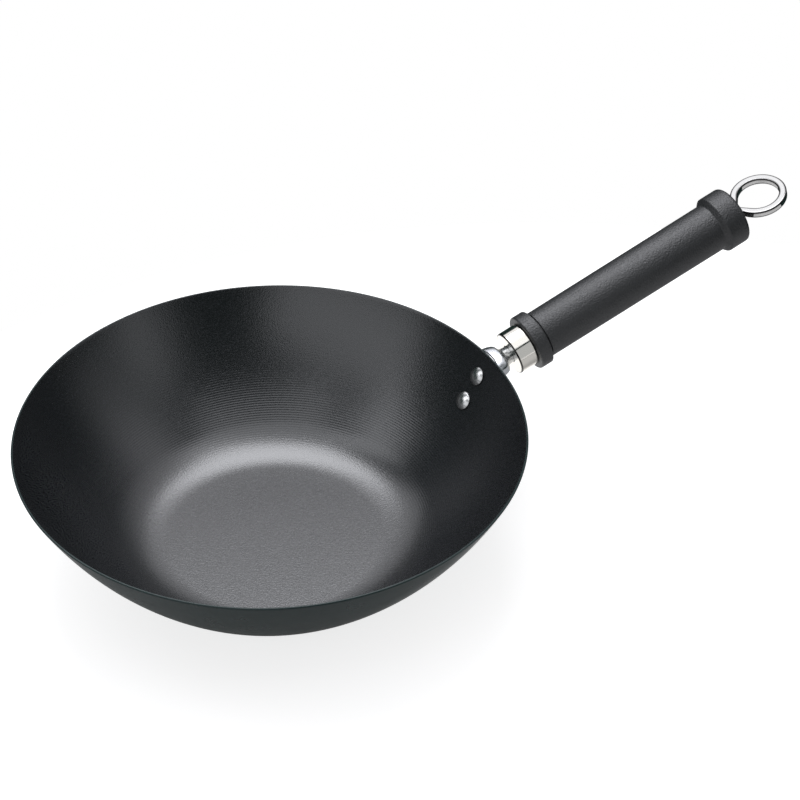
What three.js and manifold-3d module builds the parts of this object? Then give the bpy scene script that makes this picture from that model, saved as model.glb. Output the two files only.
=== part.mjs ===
// Flat-based frying wok with one long handle and a hanging eye.
// Millimetres, +Z up. The origin is the centre of the base's underside and the handle points along +X.
import * as THREE from 'three';
import { mergeVertices } from 'three/addons/utils/BufferGeometryUtils.js';
import Module from 'manifold-3d';

const wasm = await Module();
wasm.setup();

// Bowl: one steel sheet with a flat base, a wide base fillet and a gently bowed wall
const rimRadius = 132.5;
const bowlHeight = 71;
const baseRadius = 56.7;
const baseFillet = 46;
const wallBow = 192;
const bowlSheet = 1.2;

// Rivets: their distances are measured along the wall, down from the rim
const rivetFromRim = 13.3;
const rivetPitch = 15.8;
const rivetShankRadius = 2.5;
const rivetHeadRadius = 5;
const rivetHeadRise = 1.8;
const rivetTailRadius = 3.9;
const rivetTailRise = 1.5;

// Handle line: where its axis leaves the wall, along the wall from the rim, and how steeply it climbs
const axisFromRim = 9.8;
const handleClimb = THREE.MathUtils.degToRad(16);

// Bracket: a riveting pad on the wall, and an arched channel with a round shoulder that ends in a round neck
const bracketSheet = 1.5;
const bracketHalfWidth = 11;
const channelRise = 7;
const channelDrop = 5;
const channelMouth = THREE.MathUtils.degToRad(75);
const channelSquareness = 3;
const neckSeam = THREE.MathUtils.degToRad(6);
const roundSquareness = 2;
const shoulderLength = 8.8;
const waistLength = 5.3;
const neckReach = 7;

// Ferrule: a drawn cup over the grip's spigot
const ferruleStandoff = 18;
const ferruleRadius = 12.2;
const ferruleLength = 10.85;
const ferruleSheet = 0.8;
const ferruleEdge = 0.5;

// Grip: one moulding with a front collar, a slightly tapered barrel and a rear cap
const gripLength = 139.4;
const collarRadius = 15.7;
const collarLength = 7.4;
const collarEdge = 0.9;
const barrelFrontRadius = 13.3;
const barrelRearRadius = 13.68;
const capRadius = 16.35;
const capLength = 12.4;
const capEdge = 2.2;

// Eye bolt: a ring of flat-sided bar, and the round shank that clamps the grip
const eyeRadius = 15.7;
const eyeBar = 4.2;
const eyeThickness = 3.8;
const eyeEdge = 0.35;
const eyeStandoff = 2.9;
const eyeOffset = 1.2;
const eyeCusp = THREE.MathUtils.degToRad(38);
const shoulderRadius = 4.4;
const shankRadius = 3;
const shankPastNut = 4;

// Nut that the shank screws into
const nutAcrossFlats = 10;
const nutThickness = 5;

// Clearances: between seated pieces, and round what passes through a hole
const seatGap = 0.3;
const boreGap = 0.3;

// Facets: full turns of the bowl, the handle and the small round pieces, and the steps of arcs
const bowlSides = 80;
const handleSides = 40;
const smallSides = 24;
const filletSteps = 8;
const wallSteps = 6;
const edgeSteps = 3;
const domeSteps = 4;
const shoulderSteps = 6;
const channelSteps = 18;
const eyeSteps = 44;

// Wall: its arc is tangent to the base fillet and ends at the rim
const filletCentre = new THREE.Vector2(baseRadius, baseFillet);
const rimPoint = new THREE.Vector2(rimRadius, bowlHeight);
const wallCentre = circleCrossing(filletCentre, wallBow - baseFillet, rimPoint, wallBow);
const footAngle = angleRound(wallCentre, filletCentre);
const rimAngle = angleRound(wallCentre, rimPoint);
const rivetSpots = [wallSpot(rivetFromRim), wallSpot(rivetFromRim + rivetPitch)];

// Handle: distances along its axis, counted from where the axis leaves the wall
const handleRoot = wallSpot(axisFromRim).point;
const neckRadius = shankRadius + boreGap + bracketSheet;
const collarFront = ferruleStandoff + ferruleLength;
const gripRear = collarFront + gripLength;
const neckEnd = ferruleStandoff + neckReach;
const nutFront = neckEnd + seatGap;
const nutRear = nutFront + nutThickness;
const eyeCentre = gripRear + eyeStandoff + eyeRadius;

// The crossing of two circles that lies on the left of the line from the first to the second
function circleCrossing(first, firstRadius, second, secondRadius) {
  const towards = second.clone().sub(first);
  const span = towards.length();
  const along = (firstRadius ** 2 - secondRadius ** 2 + span ** 2) / (2 * span);
  const aside = Math.sqrt(firstRadius ** 2 - along ** 2);
  towards.divideScalar(span);
  const sideways = new THREE.Vector2(-towards.y, towards.x);
  return first.clone().addScaledVector(towards, along).addScaledVector(sideways, aside);
}

// Angle of a point round a centre, counted from straight down
function angleRound(centre, point) {
  return Math.atan2(point.x - centre.x, centre.y - point.y);
}

function pointRound(centre, radius, angle) {
  return new THREE.Vector2(centre.x + radius * Math.sin(angle), centre.y - radius * Math.cos(angle));
}

// A spot on the wall's outer face, by its distance from the rim along the wall
function wallSpot(fromRim) {
  const angle = rimAngle - fromRim / wallBow;
  return { angle, point: pointRound(wallCentre, wallBow, angle) };
}

// Profile from the base's edge to the rim, on a face that lies `outside` the bowl's outer face
function wallLine(outside) {
  const line = [];
  for (let step = 0; step <= filletSteps; step += 1) {
    const angle = (footAngle * step) / filletSteps;
    line.push(pointRound(filletCentre, baseFillet + outside, angle));
  }
  for (let step = 1; step <= wallSteps; step += 1) {
    const angle = footAngle + ((rimAngle - footAngle) * step) / wallSteps;
    line.push(pointRound(wallCentre, wallBow + outside, angle));
  }
  return line;
}

function profileOf(pairs) {
  return pairs.map(([radius, distance]) => new THREE.Vector2(radius, distance));
}

// The quarter round of an outer edge, from its lower face to its side
function lowerEdge(radius, distance, rounding) {
  const centre = new THREE.Vector2(radius - rounding, distance + rounding);
  const points = [];
  for (let step = 0; step <= edgeSteps; step += 1) {
    points.push(pointRound(centre, rounding, (Math.PI / 2) * (step / edgeSteps)));
  }
  return points;
}

// The quarter round of an outer edge, from its side to its upper face
function upperEdge(radius, distance, rounding) {
  const centre = new THREE.Vector2(radius - rounding, distance - rounding);
  const points = [];
  for (let step = 0; step <= edgeSteps; step += 1) {
    points.push(pointRound(centre, rounding, (Math.PI / 2) * (1 + step / edgeSteps)));
  }
  return points;
}

// A closed profile that leaves the axis free
function ringOf(profile) {
  return [...profile, profile[0].clone()];
}

// A profile of radius and height, turned round +Z
function turnedUpright(profile, sides) {
  return new THREE.LatheGeometry(profile, sides).rotateX(Math.PI / 2);
}

// A profile of radius and distance, turned round +X
function turnedAlong(profile, sides) {
  return new THREE.LatheGeometry(profile, sides).rotateZ(-Math.PI / 2);
}

// A closed geometry as a solid that can be cut and joined
function solidOf(geometry) {
  const bare = geometry.clone();
  bare.deleteAttribute('normal');
  bare.deleteAttribute('uv');
  const welded = mergeVertices(bare);
  const vertProperties = new Float32Array(welded.attributes.position.array);
  const triVerts = new Uint32Array(welded.index.array);
  return new wasm.Manifold(new wasm.Mesh({ numProp: 3, vertProperties, triVerts }));
}

function geometryOf(solid) {
  const mesh = solid.getMesh();
  const geometry = new THREE.BufferGeometry();
  geometry.setAttribute('position', new THREE.BufferAttribute(new Float32Array(mesh.vertProperties), 3));
  geometry.setIndex(new THREE.BufferAttribute(new Uint32Array(mesh.triVerts), 1));
  geometry.computeVertexNormals();
  return geometry;
}

// Placement that carries +X to the wall's outward normal at a spot, and +Z up along the wall
function onWall(spot) {
  const placement = new THREE.Matrix4().makeRotationY(Math.PI / 2 - spot.angle);
  return placement.setPosition(spot.point.x, 0, spot.point.y);
}

// Placement that carries +X along the handle, from where its axis leaves the wall
function onHandle() {
  const placement = new THREE.Matrix4().makeRotationY(-handleClimb);
  return placement.setPosition(handleRoot.x, 0, handleRoot.y);
}

// Rivet holes that go through the wall and the pad
function rivetHoles() {
  const reach = 2 * (bowlSheet + seatGap + bracketSheet);
  const radius = rivetShankRadius + boreGap;
  const hole = turnedAlong(profileOf([[0, -reach], [radius, -reach], [radius, reach], [0, reach]]), smallSides);
  return rivetSpots.map((spot) => solidOf(hole.clone().applyMatrix4(onWall(spot))));
}

function pierced(solid) {
  return rivetHoles().reduce((cut, hole) => cut.subtract(hole), solid);
}

function bowlGeometry() {
  const outer = wallLine(0);
  const inner = wallLine(-bowlSheet).reverse();
  const profile = [new THREE.Vector2(0, 0), ...outer, ...inner, new THREE.Vector2(0, bowlSheet)];
  return geometryOf(pierced(solidOf(turnedUpright(profile, bowlSides))));
}

// The space that the bowl takes up, its hollow included, with a seating gap round it
function bowlEnvelope() {
  const face = wallLine(seatGap);
  const lip = face[face.length - 1];
  const above = bowlHeight + channelRise + channelDrop;
  const profile = [new THREE.Vector2(0, -seatGap), ...face];
  profile.push(new THREE.Vector2(lip.x, above), new THREE.Vector2(0, above));
  return solidOf(turnedUpright(profile, bowlSides));
}

// Riveting pad: a round-ended tongue of the sheet, pressed to the wall's shape
function bracketPad() {
  const near = wallLine(seatGap).reverse();
  const far = wallLine(seatGap + bracketSheet);
  const sheet = solidOf(turnedUpright(ringOf([...far, ...near]), bowlSides));
  const top = rivetFromRim + rivetPitch - axisFromRim + channelRise;
  const tongue = new THREE.Shape();
  tongue.moveTo(top, -bracketHalfWidth);
  tongue.lineTo(top, bracketHalfWidth);
  tongue.absarc(0, 0, bracketHalfWidth, Math.PI / 2, 1.5 * Math.PI, false);
  const depth = 2 * bracketHalfWidth;
  const cutter = new THREE.ExtrudeGeometry(tongue, { depth, bevelEnabled: false, curveSegments: smallSides / 2 });
  cutter.translate(0, 0, -depth / 2);
  cutter.rotateX(Math.PI).rotateY(-Math.PI / 2);
  return sheet.intersect(solidOf(cutter.applyMatrix4(onWall(rivetSpots[1]))));
}

// A signed power, which squares a round section's shoulders as it falls below one
function signedPower(value, power) {
  return Math.sign(value) * Math.abs(value) ** power;
}

// How far the shoulder has drawn the channel in to the neck, from 0 to 1, along a quarter of an ellipse
function drawnIn(distance) {
  const shoulderEnd = ferruleStandoff - waistLength;
  const passed = 1 - (shoulderEnd - distance) / shoulderLength;
  return 1 - Math.sqrt(1 - THREE.MathUtils.clamp(passed, 0, 1) ** 2);
}

// Points of an arch across the handle, from lip to lip, that lies `inside` the channel's outer face
function archPoints(distance, inside) {
  const mouth = THREE.MathUtils.lerp(channelMouth, neckSeam, drawnIn(distance));
  const drawn = drawnIn(distance + inside);
  const power = 2 / THREE.MathUtils.lerp(channelSquareness, roundSquareness, drawn);
  const halfWidth = THREE.MathUtils.lerp(bracketHalfWidth, neckRadius, drawn) - inside;
  const rise = THREE.MathUtils.lerp(channelRise, neckRadius, drawn) - inside;
  const drop = THREE.MathUtils.lerp(channelDrop, neckRadius, drawn) - inside;
  const points = [];
  for (let step = 0; step <= channelSteps; step += 1) {
    const angle = mouth + (2 * (Math.PI - mouth) * step) / channelSteps;
    const across = halfWidth * signedPower(Math.sin(angle), power);
    const up = signedPower(-Math.cos(angle), power);
    points.push([distance, across, up * (up > 0 ? rise : drop)]);
  }
  return points;
}

// Outline of the channel across the handle: its outer face, then its inner face back
function channelSection(distance) {
  return [...archPoints(distance, 0), ...archPoints(distance, bracketSheet).reverse()];
}

// A solid skinned over outlines of equal length, each a strip whose second half runs back beside its first
function skinned(outlines) {
  const count = outlines[0].length;
  const faces = [];
  for (let row = 0; row + 1 < outlines.length; row += 1) {
    for (let corner = 0; corner < count; corner += 1) {
      const next = (corner + 1) % count;
      const here = row * count;
      const there = here + count;
      faces.push(here + corner, here + next, there + next);
      faces.push(here + corner, there + next, there + corner);
    }
  }
  const last = (outlines.length - 1) * count;
  for (let corner = 0; corner + 1 < count / 2; corner += 1) {
    const next = corner + 1;
    const back = count - 1 - corner;
    const backNext = back - 1;
    faces.push(last + corner, last + next, last + backNext, last + corner, last + backNext, last + back);
    faces.push(backNext, next, corner, back, backNext, corner);
  }
  const geometry = new THREE.BufferGeometry();
  geometry.setAttribute('position', new THREE.Float32BufferAttribute(outlines.flat(2), 3));
  geometry.setIndex(faces);
  return geometry;
}

// Channel: an arch, open below, whose lips close round the neck
function bracketChannel() {
  const shoulderStart = ferruleStandoff - waistLength - shoulderLength;
  const distances = [-bracketHalfWidth];
  for (let step = 0; step <= shoulderSteps; step += 1) {
    distances.push(shoulderStart + shoulderLength * Math.sin((Math.PI / 2) * (step / shoulderSteps)));
  }
  distances.push(neckEnd);
  return solidOf(skinned(distances.map(channelSection)).applyMatrix4(onHandle()));
}

function bracketGeometry() {
  const channel = bracketChannel().subtract(bowlEnvelope());
  return geometryOf(pierced(channel.add(bracketPad())));
}

// A rivet along the wall's normal, its distances counted outwards from the wall's outer face
function rivetGeometry() {
  const headSeat = -bowlSheet - seatGap;
  const tailSeat = seatGap + bracketSheet + seatGap;
  const head = [];
  const tail = [];
  for (let step = 0; step <= domeSteps; step += 1) {
    const angle = (Math.PI / 2) * (step / domeSteps);
    head.push([rivetHeadRadius * Math.sin(angle), headSeat - rivetHeadRise * Math.cos(angle)]);
    tail.unshift([rivetTailRadius * Math.sin(angle), tailSeat + rivetTailRise * Math.cos(angle)]);
  }
  const shank = [[rivetShankRadius, headSeat], [rivetShankRadius, tailSeat]];
  return turnedAlong(profileOf([...head, ...shank, ...tail]), smallSides);
}

function ferruleGeometry() {
  const hole = neckRadius + boreGap;
  const inside = ferruleRadius - ferruleSheet;
  const rear = collarFront - seatGap;
  const behindFront = ferruleStandoff + ferruleSheet;
  return turnedAlong(ringOf([
    ...profileOf([[hole, ferruleStandoff]]),
    ...lowerEdge(ferruleRadius, ferruleStandoff, ferruleEdge),
    ...profileOf([[ferruleRadius, rear], [inside, rear], [inside, behindFront], [hole, behindFront]]),
  ]), handleSides);
}

function gripGeometry() {
  const bore = shankRadius + boreGap;
  const pocket = nutAcrossFlats / Math.sqrt(3) + boreGap;
  const pocketRear = nutRear + seatGap;
  const spigot = ferruleRadius - ferruleSheet - seatGap;
  const spigotFront = ferruleStandoff + ferruleSheet + seatGap;
  const collarRear = collarFront + collarLength;
  const capFront = gripRear - capLength;
  const shoulderFront = capFront - (capRadius - barrelRearRadius);
  return turnedAlong(ringOf([
    ...profileOf([[pocket, spigotFront], [spigot, spigotFront], [spigot, collarFront]]),
    ...lowerEdge(collarRadius, collarFront, collarEdge),
    ...profileOf([[collarRadius, collarRear], [barrelFrontRadius, collarRear]]),
    ...profileOf([[barrelRearRadius, shoulderFront], [capRadius, capFront]]),
    ...upperEdge(capRadius, gripRear, capEdge),
    ...profileOf([[bore, gripRear], [bore, pocketRear], [pocket, pocketRear]]),
  ]), handleSides);
}

// Ring of the eye, lying across the handle, its hole drawn to a cusp at the shank
function eyeRing() {
  const holeRadius = eyeRadius - eyeBar;
  const ring = new THREE.Shape();
  ring.absarc(eyeCentre, eyeOffset, eyeRadius - eyeEdge, 0, 2 * Math.PI, false);
  const hole = new THREE.Path();
  hole.moveTo(eyeCentre - (holeRadius + eyeEdge) / Math.cos(eyeCusp), eyeOffset);
  hole.absarc(eyeCentre, eyeOffset, holeRadius + eyeEdge, Math.PI - eyeCusp, eyeCusp - Math.PI, true);
  hole.closePath();
  ring.holes.push(hole);
  const depth = eyeThickness - 2 * eyeEdge;
  const edge = { bevelSize: eyeEdge, bevelThickness: eyeEdge, bevelSegments: 1 };
  const bar = new THREE.ExtrudeGeometry(ring, { depth, curveSegments: eyeSteps, ...edge });
  return bar.translate(0, 0, -depth / 2);
}

function eyeBoltGeometry() {
  const shankEnd = nutFront - shankPastNut;
  const shoulderFront = gripRear + seatGap;
  const shoulderRear = eyeCentre - (eyeRadius - eyeBar) / Math.cos(eyeCusp);
  const shank = turnedAlong(profileOf([
    [0, shankEnd],
    [shankRadius, shankEnd],
    [shankRadius, shoulderFront],
    [shoulderRadius, shoulderFront],
    [shoulderRadius, shoulderRear],
    [0, shoulderRear],
  ]), smallSides);
  return geometryOf(solidOf(eyeRing()).add(solidOf(shank)));
}

function nutGeometry() {
  const corners = [];
  for (let side = 0; side < 6; side += 1) {
    corners.push(pointRound(new THREE.Vector2(), nutAcrossFlats / Math.sqrt(3), (side * Math.PI) / 3));
  }
  const hexagon = new THREE.Shape(corners);
  hexagon.holes.push(new THREE.Path().absarc(0, 0, shankRadius + boreGap, 0, 2 * Math.PI, true));
  const nut = new THREE.ExtrudeGeometry(hexagon, {
    depth: nutThickness,
    bevelEnabled: false,
    curveSegments: smallSides,
  });
  return nut.rotateY(Math.PI / 2).translate(nutFront, 0, 0);
}

function piece(name, geometry, color, roughness, metalness) {
  const mesh = new THREE.Mesh(geometry, new THREE.MeshStandardMaterial({ color, roughness, metalness }));
  mesh.name = name;
  return mesh;
}

function rivet(name, spot) {
  const mesh = piece(name, rivetGeometry(), '#c6c8ca', 0.35, 1);
  mesh.position.set(spot.point.x, 0, spot.point.y);
  mesh.rotation.y = Math.PI / 2 - spot.angle;
  return mesh;
}

// Handle: ferrule, grip, nut and eye bolt on one climbing axis
const handle = new THREE.Group();
handle.position.set(handleRoot.x, 0, handleRoot.y);
handle.rotation.y = -handleClimb;
handle.add(
  piece('ferrule', ferruleGeometry(), '#d8d1c2', 0.22, 1),
  piece('grip', gripGeometry(), '#2c2d30', 0.6, 0),
  piece('neck_nut', nutGeometry(), '#b4b7ba', 0.4, 1),
  piece('eye_bolt', eyeBoltGeometry(), '#dfe2e4', 0.08, 1),
);

const wok = new THREE.Group();
wok.add(
  piece('bowl', bowlGeometry(), '#2b2f2e', 0.5, 0.2),
  piece('handle_bracket', bracketGeometry(), '#cfd2d4', 0.25, 1),
  rivet('rivet_upper', rivetSpots[0]),
  rivet('rivet_lower', rivetSpots[1]),
  handle,
);

export default wok;
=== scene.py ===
"""Studio scene of a riveted wok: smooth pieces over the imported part, their finishes, the light and camera."""

import math

import bmesh
import bpy
from bpy.props import FloatProperty, FloatVectorProperty, IntProperty, PointerProperty
from mathutils import Matrix, Vector


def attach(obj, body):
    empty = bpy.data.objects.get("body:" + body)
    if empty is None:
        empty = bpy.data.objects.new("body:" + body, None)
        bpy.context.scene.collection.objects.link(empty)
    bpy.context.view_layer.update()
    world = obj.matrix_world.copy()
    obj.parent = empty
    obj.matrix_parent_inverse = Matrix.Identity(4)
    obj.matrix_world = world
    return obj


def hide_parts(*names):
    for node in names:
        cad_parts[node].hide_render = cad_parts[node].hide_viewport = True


bl_info = {
    "name": "Riveted wok",
    "version": (1, 0, 0),
    "blender": (4, 5, 0),
    "location": "View3D > Sidebar > Wok",
    "description": "Makes the pieces of a riveted wok, their finishes and a studio around them",
    "category": "Object",
}

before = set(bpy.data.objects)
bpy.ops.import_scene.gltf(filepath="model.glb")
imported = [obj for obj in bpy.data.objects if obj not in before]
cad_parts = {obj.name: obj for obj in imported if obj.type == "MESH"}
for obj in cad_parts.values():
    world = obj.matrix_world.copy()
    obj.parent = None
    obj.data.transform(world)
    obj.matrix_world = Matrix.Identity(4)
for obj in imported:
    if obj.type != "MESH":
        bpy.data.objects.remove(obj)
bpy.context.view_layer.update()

MM = 0.001
QUARTER = math.pi / 2
BODY = "root"
# Points that lie closer than this are one point
WELD = 0.001 * MM
# Faces bend by more than the first angle at a rounded edge, and by more than the second at a sharp one
ROUNDED = math.radians(6)
SHARP = math.radians(32)
# The point attribute that marks rounded edges, and the share of a plate's colour that is left on them: painted
# shade, dark lines that stand in for the dark room that rounded edges mirror
EDGE_SHADE_ATTRIBUTE = "painted_edge_shade"
EDGE_SHADE_SHARE = 0.08
# Sockets of a colour mix: its share, its two colours and its result
MIX_SHARE, MIX_FIRST, MIX_SECOND, MIX_RESULT = 0, 6, 7, 2
# Watts for each square metre of a panel whose brightness is one
PANEL_POWER = 4


# Values that a user would change


def length(name, description, millimetres):
    """A length property, given in millimetres and kept in metres."""
    metres = millimetres * MM
    return FloatProperty(name=name, description=description, default=metres, unit="LENGTH", precision=5)


def position(name, description, metres):
    """A place on the floor, in metres."""
    return FloatVectorProperty(name=name, description=description, default=metres, unit="LENGTH")


def angle(name, description, degrees):
    """An angle property, given in degrees and kept in radians."""
    return FloatProperty(name=name, description=description, default=math.radians(degrees), subtype="ANGLE")


def amount(name, description, value, subtype="NONE"):
    """A plain amount, such as a brightness."""
    return FloatProperty(name=name, description=description, default=value, subtype=subtype)


def number(name, description, value, least):
    """A whole number that has a least value."""
    return IntProperty(name=name, description=description, default=value, min=least)


def linear(code):
    """Turns an sRGB hex code into linear red, green and blue."""
    shares = [int(code[start : start + 2], 16) / 255 for start in (1, 3, 5)]
    return tuple(s / 12.92 if s <= 0.04045 else ((s + 0.055) / 1.055) ** 2.4 for s in shares)


def colour(name, description, code):
    """A colour property, given as an sRGB hex code."""
    return FloatVectorProperty(
        name=name, description=description, default=linear(code), subtype="COLOR", size=3, min=0, max=1
    )


class BowlSizes(bpy.types.PropertyGroup):
    """Sizes of the spun bowl."""

    rim_radius: length("Rim radius", "Radius of the rim's outer edge", 132.5)
    height: length("Height", "Height of the rim's outer edge", 71)
    base_radius: length("Base radius", "Radius of the flat base", 56.7)
    base_fillet: length("Base fillet", "Outer radius of the curve between base and wall", 46)
    wall_bow: length("Wall bow", "Outer radius of the wall's gentle curve", 192)
    sheet: length("Sheet", "Thickness of the steel sheet", 1.2)
    sides: number("Sides", "Facets in a full turn", 288, 24)


class RivetSizes(bpy.types.PropertyGroup):
    """Sizes of the rivets, which stand in a row down the wall."""

    count: number("Count", "Rivets in the row", 2, 2)
    from_rim: length("From rim", "Distance of the first rivet from the rim, along the wall", 13.3)
    pitch: length("Pitch", "Distance between rivets, along the wall", 15.8)
    head_radius: length("Head radius", "Radius of the domed head inside the bowl", 5)
    head_rise: length("Head rise", "Height of the domed head", 1.8)
    shank_radius: length("Shank radius", "Radius of the shank", 2.5)
    tail_radius: length("Tail radius", "Radius of the formed tail behind the bracket", 3.9)
    tail_rise: length("Tail rise", "Height of the formed tail", 1.5)
    sides: number("Sides", "Facets in a full turn", 48, 12)


class BracketSizes(bpy.types.PropertyGroup):
    """Sizes of the formed sheet bracket."""

    sheet: length("Sheet", "Thickness of the steel sheet", 1.5)
    half_width: length("Half width", "Half the width of the pad and of the channel's root", 11)
    rise: length("Channel rise", "Height of the channel's back above the handle's axis", 7)
    drop: length("Channel drop", "Depth of the channel's section below the handle's axis", 5)
    mouth: angle("Mouth", "Half the opening under the channel at its root", 75)
    neck_seam: angle("Neck seam", "Half the opening under the rolled neck", 6)
    squareness: FloatProperty(name="Squareness", description="Power of the root's section", default=3, min=2)
    shoulder_length: length("Shoulder length", "Length over which the channel draws in to the neck", 8.8)
    waist_length: length("Waist length", "Bare neck between the shoulder and the ferrule", 5.3)
    waist_fillet: length("Waist fillet", "Length of the hollow curve from the shoulder to the neck", 4.5)
    waist_share: amount("Waist share", "Share of the drawing in that the hollow makes", 0.5, "FACTOR")
    neck_radius: length("Neck radius", "Outer radius of the rolled neck", 4.8)
    neck_reach: length("Neck reach", "Length of the neck inside the ferrule and the grip", 7)
    voxel: length("Voxel", "Fineness of the remesh that makes one skin of pad and channel", 0.34)


class HandleSizes(bpy.types.PropertyGroup):
    """Sizes along the handle's climbing axis."""

    axis_from_rim: length("Axis from rim", "Where the axis leaves the wall, along the wall from the rim", 9.8)
    climb: angle("Climb", "How steeply the handle climbs", 16)
    ferrule_standoff: length("Ferrule standoff", "From the wall to the ferrule, along the axis", 18)
    ferrule_radius: length("Ferrule radius", "Outer radius of the ferrule", 12.2)
    ferrule_length: length("Ferrule length", "Length of the ferrule up to the collar", 10.85)
    ferrule_sheet: length("Ferrule sheet", "Thickness of the ferrule's wall", 0.8)
    ferrule_front_edge: length("Ferrule front edge", "Rounding of the ferrule's front edge", 0.7)
    ferrule_rear_edge: length("Ferrule rear edge", "Rounding of the ferrule's rear edge", 0.2)
    grip_length: length("Grip length", "From the collar's front to the cap's end", 139.4)
    collar_radius: length("Collar radius", "Radius of the front collar", 15.7)
    collar_length: length("Collar length", "Length of the front collar", 7.4)
    collar_front_edge: length("Collar front edge", "Rounding of the collar's front edge", 0.9)
    collar_rear_edge: length("Collar rear edge", "Rounding of the collar's rear edge", 0.5)
    groove_width: length("Groove width", "Width of the shadow groove behind the collar", 1.4)
    groove_depth: length("Groove depth", "Depth of the shadow groove behind the collar", 0.9)
    barrel_front_radius: length("Barrel front radius", "Radius behind the collar", 13.3)
    barrel_rear_radius: length("Barrel rear radius", "Radius in front of the cap", 13.68)
    barrel_edge: length("Barrel edge", "Rounding of the barrel's front edge", 0.3)
    cap_radius: length("Cap radius", "Radius of the rear cap", 16.35)
    cap_length: length("Cap length", "Length of the rear cap", 12.4)
    cap_front_edge: length("Cap front edge", "Rounding at both ends of the slope in front of the cap", 0.8)
    cap_edge: length("Cap edge", "Rounding of the cap's rear edge", 2.2)
    bore_edge: length("Bore edge", "Rounding of the bore's rear edge", 0.2)
    nut_pocket: length("Nut pocket", "Radius of the grip's pocket for the neck and the nut", 6.1)
    nut_thickness: length("Nut thickness", "Thickness of the nut behind the neck", 5)
    gap: length("Gap", "Clearance between seated pieces", 0.3)
    sides: number("Sides", "Facets in a full turn", 128, 24)


class EyeSizes(bpy.types.PropertyGroup):
    """Sizes of the hanging eye and its shank."""

    radius: length("Radius", "Outer radius of the ring", 15.7)
    bar: length("Bar", "Width of the ring's bar", 4.2)
    thickness: length("Thickness", "Thickness of the ring's bar", 3.8)
    edge: length("Edge", "Rounding of the bar's edges", 0.6)
    standoff: length("Standoff", "From the cap's end to the ring", 2.9)
    offset: length("Offset", "Sideways offset of the ring's centre", 1.2)
    cusp: angle("Cusp", "Half the angle over which the hole draws to a point at the shank", 38)
    shoulder_radius: length("Shoulder radius", "Radius of the shoulder between ring and cap", 4.4)
    shoulder_edge: length("Shoulder edge", "Rounding of the shoulder's front edge", 0.4)
    shank_radius: length("Shank radius", "Radius of the shank inside the grip", 3)
    shank_edge: length("Shank edge", "Rounding of the shank's front edge", 0.6)
    shank_end: length("Shank end", "From the wall to the shank's front end", 21.3)


class FinishColours(bpy.types.PropertyGroup):
    """Colours of the finishes."""

    coat: colour("Coat", "Non-stick coat inside the bowl", "#0f1113")
    # The fleck colour is also painted along the ridges of the turned rings, as a painted highlight
    fleck: colour("Fleck", "Flecks in the non-stick coat", "#212327")
    enamel: colour("Enamel", "Baked enamel outside the bowl", "#032120")
    nickel: colour("Nickel", "Bright nickel plate of the bracket", "#d3d5d8")
    warm_nickel: colour("Warm nickel", "Nickel plate of the ferrule", "#f3efe6")
    rivet: colour("Rivet", "Satin aluminium of the rivets", "#e9e9e8")
    phenolic: colour("Phenolic", "Moulded grip", "#18191b")
    chrome: colour("Chrome", "Chrome plate of the eye", "#f6f5f2")
    zinc: colour("Zinc", "Zinc plate of the hidden nut", "#b6b9bc")
    floor: colour("Floor", "Pale studio floor", "#b8b8b8")
    light: colour("Light", "The lamps and the white wall", "#f9faff")
    dark_side: colour("Dark side", "The unlit room that shiny surfaces mirror", "#1c2a28")


class StudioSettings(bpy.types.PropertyGroup):
    """The camera's place and the light's levels."""

    azimuth: angle("Azimuth", "The camera's turn round the wok, from straight in front", -30.5)
    elevation: angle("Elevation", "The camera's height angle", 37.9)
    distance: length("Distance", "From the camera to the point it looks at", 1422.1)
    aim: position("Aim", "Point on the floor that the camera looks at", (0.1181, 0.0695, 0))
    lens: amount("Lens", "Focal length, in millimetres", 112.6)
    sensor: amount("Sensor", "Width of the camera's sensor, in millimetres", 36)
    back_light: amount("Back light", "Brightness of the softbox behind", 3.35)
    top_light: amount("Top light", "Brightness of the softbox above", 0.9)
    left_light: amount("Left light", "Brightness of the front left panel", 0.65)
    right_light: amount("Right light", "Brightness of the right panel", 0.2)
    card_light: amount("Card light", "Brightness of the card by the handle", 0.38)
    rivet_light: amount("Rivet light", "Brightness of the card over the rivets", 1.25)
    ambient: amount("Ambient", "Even light from all round", 0.3)
    wall_turn: angle("Wall turn", "How far the white wall behind the wok is turned to the left", 19)
    side_turn: angle("Side turn", "How far the light side of the room is turned to the right", 45)
    floor_centre: position("Floor centre", "Middle of the floor, seen from the camera", (0.15, -0.2, 0))
    floor_radius: length("Floor radius", "Radius of the round floor", 500)
    floor_sides: number("Floor sides", "Facets of the round floor", 96, 24)
    floor_glow: amount("Floor glow", "Lift that takes the lit floor to white", 0.76)
    floor_dim: amount("Floor dim", "Share of that lift that shiny surfaces see off the bright patch", 0.06)
    patch_centre: position("Patch centre", "Middle of the floor's bright patch", (0.0, 0.1, 0))
    patch_inner: length("Patch inner", "Radius at which the bright patch starts to fade", 150)
    patch_outer: length("Patch outer", "Radius at which the bright patch ends", 185)


class WokSettings(bpy.types.PropertyGroup):
    """All the values of the wok."""

    bowl: PointerProperty(type=BowlSizes)
    rivets: PointerProperty(type=RivetSizes)
    bracket: PointerProperty(type=BracketSizes)
    handle: PointerProperty(type=HandleSizes)
    eye: PointerProperty(type=EyeSizes)
    colours: PointerProperty(type=FinishColours)
    studio: PointerProperty(type=StudioSettings)


# Nodes


def add_node(tree, kind, inputs=None, **settings):
    """Adds a node with its settings and inputs. A node or a socket is linked, and the rest is constant."""
    node = tree.nodes.new(kind)
    for name, value in settings.items():
        setattr(node, name, value)
    for key, value in (inputs or {}).items():
        # A node stands for its first output
        source = value.outputs[0] if isinstance(value, bpy.types.Node) else value
        if isinstance(source, bpy.types.NodeSocket):
            tree.links.new(source, node.inputs[key])
        else:
            node.inputs[key].default_value = source
    return node


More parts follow.
